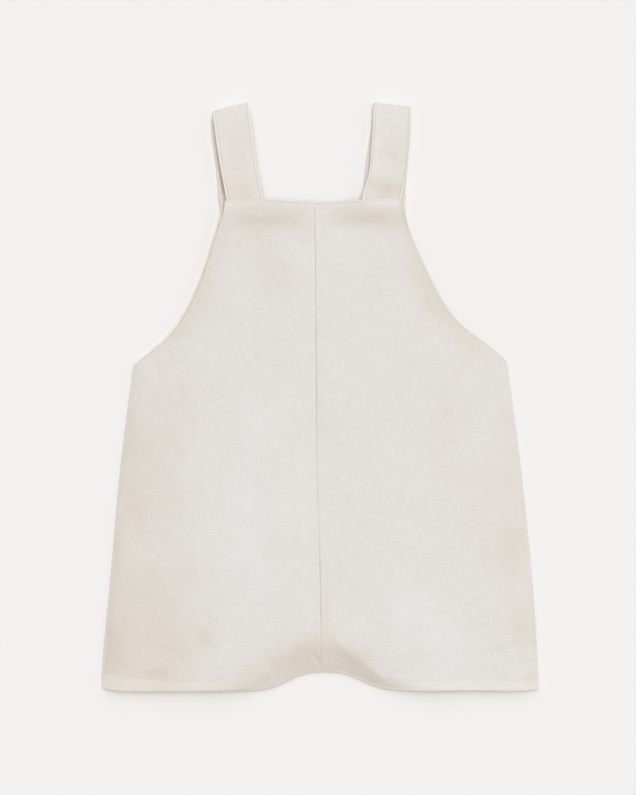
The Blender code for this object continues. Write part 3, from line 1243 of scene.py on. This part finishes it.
@dataclass
class Strap(Shell):
    """A doubled band, turned over at the top and topstitched beside both edges."""

    nudges: tuple[Nudge, ...] = ()
    # Strength of the painted shade on the lower run, where the upper run shades it.
    shelter: float = 1.0
    edge_ridge: float = 0.10
    ridge_place: float = 0.9
    ridge_width: float = 0.7
    stitch_groove: float = 0.15
    groove_width: float = 0.5
    lower_relief: float = 0.2
    # Strength of the painted light on the band's edges turned away from the light.
    painted_edge_light: float = 0.6
    row: StitchRow = StitchRow(Edge.SIDE, 1.9, stitch=2.2, thickness=0.22, jitter=0.05)
    end_line: float = 145.0
    lit_edge: float = 1.6
    lit_fade: float = 0.6
    fold: float = 0.0
    rungs: list[tuple[Vector, Vector]] = field(default_factory=list)

    def is_wall(self, face: bmesh.types.BMFace) -> bool:
        """Whether a face is one of the band's two sides or its ends."""
        at_end = face.normal.y < -0.8 and face.calc_center_median().y < self.end_line * MM
        return abs(face.normal.x) > 0.7 or at_end

    def shape(self, copy: bmesh.types.BMesh) -> None:
        """Ease the band's corners and edges into their places.

        Args:
            copy: The solid's copy, which is changed.
        """
        coords = np.array([tuple(vert.co) for vert in copy.verts])
        for nudge in self.nudges:
            nudge.push(coords)
        for vert, moved in zip(copy.verts, coords):
            vert.co = moved

    def read_rungs(self, copy: bmesh.types.BMesh) -> None:
        """Read the band's course from the two edges of its outer face.

        Args:
            copy: The solid's copy.
        """
        sides = []
        for sign in (-1.0, 1.0):
            border = [
                edge
                for edge in copy.edges
                if any(face.normal.x * sign > 0.7 for face in edge.link_faces)
                and not all(self.is_wall(face) for face in edge.link_faces)
            ]
            outer = max(chains(border), key=lambda line: max(point.y for point in line))
            if outer[0].z < outer[-1].z:
                outer.reverse()
            sides.append(outer)
        self.rungs = list(zip(*sides))

    def grain_of(self, coords: np.ndarray) -> np.ndarray:
        """Coordinates along and across the band, from its front end. Notes where it turns over.

        Args:
            coords: Points in metres.

        Returns:
            A row of two values for each point: across and along, in metres.
        """
        coarse = np.array([tuple((left + right) * 0.5) for left, right in self.rungs])
        sides = np.array([tuple((right - left).normalized()) for left, right in self.rungs])
        known = np.arange(len(coarse))
        dense = np.linspace(0.0, len(coarse) - 1.0, (len(coarse) - 1) * 24 + 1)
        centres = np.stack([np.interp(dense, known, coarse[:, axis]) for axis in range(3)], axis=1)
        across = np.stack([np.interp(dense, known, sides[:, axis]) for axis in range(3)], axis=1)
        steps = np.linalg.norm(np.diff(centres, axis=0), axis=1)
        reach = np.concatenate(([0.0], np.cumsum(steps)))
        self.fold = float(reach[centres[:, 1].argmax()])
        tree = KDTree(len(centres))
        for index, centre in enumerate(centres):
            tree.insert(centre, index)
        tree.balance()
        nearest = np.empty(len(coords), int)
        for row, point in enumerate(coords):
            at = tree.find(point)[1]
            for _ in range(3):
                offset = point - centres[at]
                at = tree.find(point - across[at] * float(np.dot(offset, across[at])))[1]
            nearest[row] = at
        aside = np.einsum("ij,ij->i", coords - centres[nearest], across[nearest])
        return np.stack((aside, reach[nearest]), axis=1)

    def build(self) -> None:
        """Make the strap."""
        copy = self.solid_copy()
        self.shape(copy)
        self.read_rungs(copy)
        self.round_rim(copy, 1)
        data = self.refine(copy)
        coords = self.read(data)
        grain = self.grain_of(coords)
        widths = np.array([(right - left).length for left, right in self.rungs]) / MM
        inwards = float(widths.mean()) * 0.5 - np.abs(grain[:, 0]) / MM
        facing = self.read(data, "normal")[:, 2]
        upper = grain[:, 1] < self.fold
        outside = np.clip(np.where(upper, facing, -facing), 0.0, 1.0)
        relief = self.total(self.creases, coords) * upper
        relief += self.edge_ridge * np.exp(-(((inwards - self.ridge_place) / self.ridge_width) ** 2))
        relief -= self.stitch_groove * np.exp(-(((inwards - self.row.inset) / self.groove_width) ** 2))
        coords[:, 2] += relief * outside * np.where(upper, 1.0, -self.lower_relief) * MM
        self.write(data, coords)
        self.map_grain(data, grain)
        # Painted shade on the faces between the band's two runs, fading out towards the lit edge of the
        # lower run; painted light on its edges turned away from the light.
        between = np.clip(np.where(upper, -facing, facing) * 2.0, 0.0, 1.0)
        covered = np.clip((inwards - self.lit_edge) / self.lit_fade, 0.15, 1.0)
        values = {
            Layer.RIM: inwards,
            Layer.WARMTH: self.warmth(coords),
            Layer.SHELTER: np.maximum(between * covered * self.shelter, self.shade_walls(data)),
            Layer.GLOW: self.paint_light_on_edges(data) * self.painted_edge_light,
        }
        self.store(data, values)
        self.settle(data)

    def sew(self) -> list[bpy.types.Object]:
        """Topstitch both edges of the band.

        Returns:
            The stitches, as one object.
        """
        needle = Needle()
        tree = self.surface()
        for from_left in (True, False):
            line = []
            for left, right in self.rungs[3:-3]:
                step = (right - left).normalized() * (self.row.inset * MM)
                line.append(left + step if from_left else right - step)
            needle.sew(line, tree, None, self.row)
        return [self.collect(needle, "", ECRU_THREAD)]


# The garment and the studio


def soft_lines(*rows: tuple[float, ...]) -> tuple[SoftLine, ...]:
    """Soft lines from rows of start x and y, end x and y, width, amount and, where it has one, bow."""
    return tuple(SoftLine(row[:2], row[2:4], *row[4:]) for row in rows)


@dataclass
class Dungarees:
    """All the cloth pieces, with the folds, the zones of painted shade and light, and the rows of each."""

    room: Workroom = field(default_factory=Workroom)
    hem_row: StitchRow = StitchRow(Edge.BOTTOM, 8.0, 0.34, 0.985)
    front_ripples: tuple[Ripple, ...] = (
        Ripple(18.0, 71.0, 0.30, 0.4),
        Ripple(101.0, 93.0, 0.28, 2.1),
        Ripple(57.0, 41.0, 0.12, 4.0),
        Ripple(-34.0, 29.0, 0.06, 1.3),
    )
    back_ripples: tuple[Ripple, ...] = (
        Ripple(12.0, 83.0, 0.14, 1.0),
        Ripple(96.0, 67.0, 0.12, 3.0),
        Ripple(-41.0, 37.0, 0.06, 0.2),
    )
    front_creases: tuple[SoftLine, ...] = soft_lines(
        (-50, 128, -12, 70, 8.5, -0.25, -3),
        (-22, 118.5, -2, 110.5, 2.6, -0.35),
        (-68, 133.5, -8, 129.5, 6.5, -0.18, -1.5),
        (10, 132, 62, 135, 6.5, -0.18, -2),
        (64, 56, 122, -128, 18, -0.25, 6),
        (-104, 30, -92, -150, 18, 0.9, -6),
        (7, -180.5, 33, -199.5, 6, 0.7, 1.2),
        (28, -195, 52, -218, 3.4, 0.8, 0.8),
        (-5, -179, -44, -206, 7, 0.6, -1.5),
        (-38, -201, -52, -217, 5, 0.6),
        (-5.5, -192, 0.6, -205, 1.8, -0.6, 0.4),
        (-97, -187, -80, -180, 11, -0.6),
        (-134, -209.5, -116, -207.5, 3, -0.7),
        (129, -187.5, 150, -180.5, 3.2, 0.7),
        (96, -214, 104, -196, 5, 0.35),
        (-70, -216, -76, -198, 5, 0.4),
        (-74, -218, -52, -215, 5, 0.5),
        (56, -215, 80, -218, 5, 0.5),
        (-146, -60, -128, -150, 8, -0.5, 2),
        (148, -96, 140, -168, 7, -0.45, -2),
        (-118, 30, -84, 12, 6, -0.4, 1.5),
        (120, 30, 92, 8, 6, -0.35, -1.5),
    )
    # Zones of painted shade where the cloth falls away from the light or dips, at the sides, the crotch and
    # the bib's top; a negative amount paints light instead.
    front_shading_paint: tuple[SoftLine, ...] = soft_lines(
        (-146, 30, -158, -150, 30, 0.62),
        (-114, 24, -110, -156, 16, 0.2),
        (-160, -150, -96, -212, 34, 0.75),
        (-160, -170, -150, -216, 12, 0.5),
        (-136, -206.5, -114, -208, 3.6, 0.42),
        (-140, -216, -46, -214, 11, 0.35),
        (-62, -213, 56, -216, 16, 0.74, 20.5),
        (5, -140, 4, -184, 7, 0.35),
        (-74, 137, -2, 133, 15, 0.52),
        (-60, 132, -16, 64, 15, 0.25),
        (-128, 30, -76, 138, 14, 0.55, -10),
        (2, 135, 64, 135, 11.5, 0.62),
        (32, 145, 60, 146, 4, -0.55),
        (66, 132, 132, 26, 13, 0.7, -14),
        (64, 50, 116, -140, 20, 0.1, 6),
        (142, 20, 158, -206, 15, 0.44),
        (-90, -185, -82, -181, 10, 0.2),
        (-3, 140, 0, -180, 4, 0.2),
        (-56, 0, -50, -176, 22, -0.25),
        (36, -150, 118, -204, 20, -0.25),
        (54, -212, 132, -213, 9, -0.3),
        (-112, -211, -58, -213, 8, -0.25),
        (-104, 36, -98, -44, 15, 0.22),
        (-150, -134, -76, -136, 13, 0.2),
        (-160, -90, -158, -214, 15, 0.38),
        (126, -30, 134, -190, 13, 0.18),
        (148, -150, 158, -206, 11, 0.25),
        (152, -213, 166, -214, 6, 0.7),
    )
    back_creases: tuple[SoftLine, ...] = soft_lines(
        (-60, 110, -28, 40, 7, 0.34, 2),
        (52, 104, 30, 30, 8, 0.3, -2),
        (-20, -170, -70, -120, 6, 0.36, 3),
        (22, -168, 74, -130, 6, 0.4, -3),
        (-120, 0, -96, -120, 12, 0.32, 4),
        (116, -20, 104, -140, 12, 0.3, -4),
    )
    # Zones of painted shade at the back's sides, its top and its crotch.
    back_shading_paint: tuple[SoftLine, ...] = soft_lines(
        (-140, 0, -150, -190, 30, 0.45),
        (140, 0, 150, -190, 26, 0.4),
        (-60, 128, 50, 128, 16, 0.5),
        (-30, -198, 30, -196, 16, 0.55),
    )
    left_strap_creases: tuple[SoftLine, ...] = soft_lines(
        (-78, 196, -52, 188, 6, -0.22),
        (-74, 160, -46, 163, 5, 0.18),
    )
    # Zones of painted shade on the strap.
    left_strap_shading_paint: tuple[SoftLine, ...] = soft_lines(
        (-66, 212, -58, 140, 16, 0.35),
        (-70, 151, -44, 149, 8, 0.45),
    )
    right_strap_creases: tuple[SoftLine, ...] = soft_lines(
        (33, 157, 64, 154, 4.5, -0.6),
        (36, 167, 64, 164, 5, 0.25),
    )
    # Zones of painted shade on the strap, the strongest over its dip above the bib.
    right_strap_shading_paint: tuple[SoftLine, ...] = soft_lines(
        (34, 156.5, 66, 153, 6.5, 0.6),
        (32, 149, 64, 149, 6, 0.5),
        (54, 206, 62, 160, 10, 0.2),
        (46, 188, 62, 172, 8, 0.2),
    )

    def shared(self, kind: str) -> dict[str, object]:
        """Fields that a kind of piece takes from the tables, with those it has none of left empty."""
        named = {name: getattr(self, f"{kind}_{name}", ()) for name in ("creases", "ripples", "shading_paint")}
        return {"room": self.room, **named}

    @staticmethod
    def bib_rows(top_stop: float, inset: float, start: float, stop: float) -> tuple[StitchRow, ...]:
        """Rows of the bib: along its top, a shorter one below, and up the armhole to its corner."""
        return (
            StitchRow(Edge.TOP, 1.15, 0.03, top_stop, stitch=1.1, thickness=0.55, gap=0.8),
            StitchRow(Edge.TOP, inset, start, stop, stitch=1.0, thickness=0.40, gap=0.9),
            StitchRow(Edge.ARMHOLE, 1.2, 0.965, 0.998, stitch=1.1, thickness=0.5, gap=0.8),
        )

    def make_fronts(self) -> list[FrontHalf]:
        """Lay out the two front halves.

        Returns:
            The left one and the right one, not yet built.
        """
        left = FrontHalf(
            node="front_left",
            cloth=WovenCloth("ecru_front_left", LEFT_LINES),
            nudges=(
                Nudge((0.0, -205.5), (0.75, -0.60), (1.8, 1.8)),
                Nudge((-5.7, 144.1), (0.60, 0.50), (1.8, 1.8)),
            ),
            hem_rise=3.6,
            corners=Corners((0.9, -206.4), (-163.2, -218.6), (-139.9, 23.4), (-71.8, 146.4), (-5.0, 144.9)),
            rows=(self.hem_row,),
            bib_rows=self.bib_rows(0.46, 4.2, 0.18, 0.44),
            **self.shared("front"),
        )
        right = FrontHalf(
            node="front_right",
            cloth=WovenCloth("ecru_front_right"),
            nudges=(
                Nudge((1.8, -205.5), (-0.75, -0.60), (1.8, 1.8)),
                Nudge((-4.3, 144.1), (-0.60, 0.50), (1.8, 1.8)),
            ),
            corners=Corners((0.9, -206.4), (163.2, -219.2), (139.4, 26.4), (60.4, 146.8), (-5.0, 144.9)),
            rows=(self.hem_row,),
            bib_rows=self.bib_rows(0.50, 3.6, 0.02, 0.42),
            **self.shared("front"),
        )
        return [left, right]

    def make_backs(self) -> list[BackHalf]:
        """Lay out the two back halves.

        Returns:
            The left one and the right one, not yet built.
        """
        rows = (self.hem_row, StitchRow(Edge.TOP, 1.7))
        left = BackHalf(
            node="back_left",
            cloth=WovenCloth("ecru_back_left", BACK_LINES),
            corners=Corners((0.9, -206.0), (-162.8, -218.2), (-139.5, 23.4), (-74.4, 143.6), (-5.0, 142.6)),
            rows=rows,
            **self.shared("back"),
        )
        right = BackHalf(
            node="back_right",
            cloth=WovenCloth("ecru_back_right"),
            corners=Corners((0.9, -206.0), (162.8, -218.8), (139.0, 26.4), (62.4, 143.6), (-5.0, 142.6)),
            rows=rows,
            **self.shared("back"),
        )
        return [left, right]

    def make_straps(self) -> list[Strap]:
        """Lay out the two straps.

        Returns:
            The left one and the right one, not yet built.
        """
        left = Strap(
            node="strap_left",
            cloth=WovenCloth("ecru_strap_left", STRAP_LINES, cloth=STRAP_CLOTH),
            nudges=(
                Nudge((-79.0, 178.0), (0.6, 0.0), (4.0, 36.0), high=2.6),
                Nudge((-80.8, 214.5), (1.0, -1.2), (2.6, 2.8)),
                Nudge((-54.0, 219.8), (-0.6, -0.8), (2.2, 2.2)),
            ),
            **self.shared("left_strap"),
        )
        right = Strap(
            node="strap_right",
            cloth=WovenCloth("ecru_strap_right", STRAP_LINES, cloth=STRAP_CLOTH),
            nudges=(
                Nudge((61.5, 152.0), (0.9, 0.0), (6.0, 15.0), low=2.9),
                Nudge((36.0, 164.0), (-3.2, 0.0), (8.0, 34.0), high=3.0),
                Nudge((39.6, 219.8), (0.9, -1.0), (2.4, 2.6)),
                Nudge((67.6, 217.2), (-0.6, -0.8), (2.2, 2.2)),
            ),
            # Weaker painted shade between this strap's runs.
            shelter=0.25,
            lit_edge=-1.5,
            lit_fade=2.5,
            **self.shared("right_strap"),
        )
        return [left, right]

    def build(self) -> None:
        """Build and sew every piece."""
        for back in self.make_backs():
            back.build()
            sewn = back.sew()
        for front in self.make_fronts():
            front.build()
            sewn = front.sew()
        for strap in self.make_straps():
            strap.build()
            sewn = strap.sew()


@dataclass(frozen=True)
class Lamp:
    """A distant soft light, by its share of the light on the floor."""

    name: str
    azimuth: float
    elevation: float
    spread: float
    share: float
    colour: Colour = (1.0, 1.0, 1.0)

    def place(self, total: float) -> None:
        """Add the light.

        Args:
            total: Light on the floor from all sources, in watts to the square metre.
        """
        data = bpy.data.lights.new(self.name, "SUN")
        data.energy = total * self.share / math.sin(math.radians(self.elevation))
        data.color = self.colour
        data.angle = math.radians(self.spread)
        level, turn = math.radians(self.elevation), math.radians(self.azimuth)
        aim = Vector((math.cos(turn) * math.cos(level), math.sin(turn) * math.cos(level), math.sin(level)))
        lamp = bpy.data.objects.new(self.name, data)
        lamp.rotation_mode = "QUATERNION"
        lamp.rotation_quaternion = aim.to_track_quat("Z", "Y")
        bpy.context.scene.collection.objects.link(lamp)


@dataclass
class Studio:
    """The floor, the soft light and the camera straight above."""

    pixel: float = 0.75
    wide: int = 636
    high: int = 795
    centre: Spot = (-2.06, -0.83)
    eye: float = 2600.0
    sensor: float = 36.0
    floor_size: float = 12.0
    floor_drop: float = 0.22
    total_light: float = 3.19
    sky_share: float = 0.31
    sky_colour: Colour = (1.06, 0.998, 1.0)
    lamps: tuple[Lamp, ...] = (
        Lamp("overhead", 90.0, 90.0, 60.0, 0.29, (0.985, 1.0, 0.80)),
        Lamp("window", 48.0, 75.0, 40.0, 0.28, (0.985, 1.0, 1.16)),
        Lamp("key", 90.0, 40.0, 40.0, 0.09, (0.88, 1.0, 1.20)),
        Lamp("fill", 10.0, 28.0, 30.0, 0.035, (1.0, 1.0, 1.0)),
    )

    def lay_floor(self) -> None:
        """Make the plain floor."""
        sheet = bmesh.new()
        bmesh.ops.create_grid(
            sheet,
            x_segments=2,
            y_segments=2,
            size=self.floor_size * 0.5,
            matrix=Matrix.Translation((0.0, 0.0, -self.floor_drop * MM)),
        )
        data = bpy.data.meshes.new("floor")
        sheet.to_mesh(data)
        sheet.free()
        data.materials.append(PaleFloor().material())
        floor = bpy.data.objects.new("floor", data)
        bpy.context.scene.collection.objects.link(floor)

    def light(self) -> None:
        """Set the lamps and an even sky."""
        for lamp in self.lamps:
            lamp.place(self.total_light)
        world = bpy.data.worlds.new("studio")
        world.use_nodes = True
        sky = world.node_tree.nodes["Background"]
        sky.inputs["Color"].default_value = (*self.sky_colour, 1.0)
        sky.inputs["Strength"].default_value = self.total_light * self.sky_share / math.pi
        bpy.context.scene.world = world
        bpy.context.scene.view_settings.view_transform = "Standard"

    def aim_camera(self) -> None:
        """Place the camera so that a pixel covers the same length as in the photo."""
        lens = bpy.data.cameras.new("camera")
        lens.sensor_width = self.sensor
        lens.lens = self.sensor * self.eye / (self.high * self.pixel)
        lens.clip_start = 0.05
        lens.clip_end = 10.0
        camera = bpy.data.objects.new("camera", lens)
        camera.location = (self.centre[0] * MM, self.centre[1] * MM, self.eye * MM)
        bpy.context.scene.collection.objects.link(camera)
        bpy.context.scene.camera = camera


def main() -> None:
    """Build the studio and the garment."""
    logging.basicConfig(level=logging.INFO, format="%(name)s %(message)s")
    studio = Studio()
    studio.aim_camera()
    studio.lay_floor()
    studio.light()
    Dungarees().build()


if __name__ == "__main__":
    main()
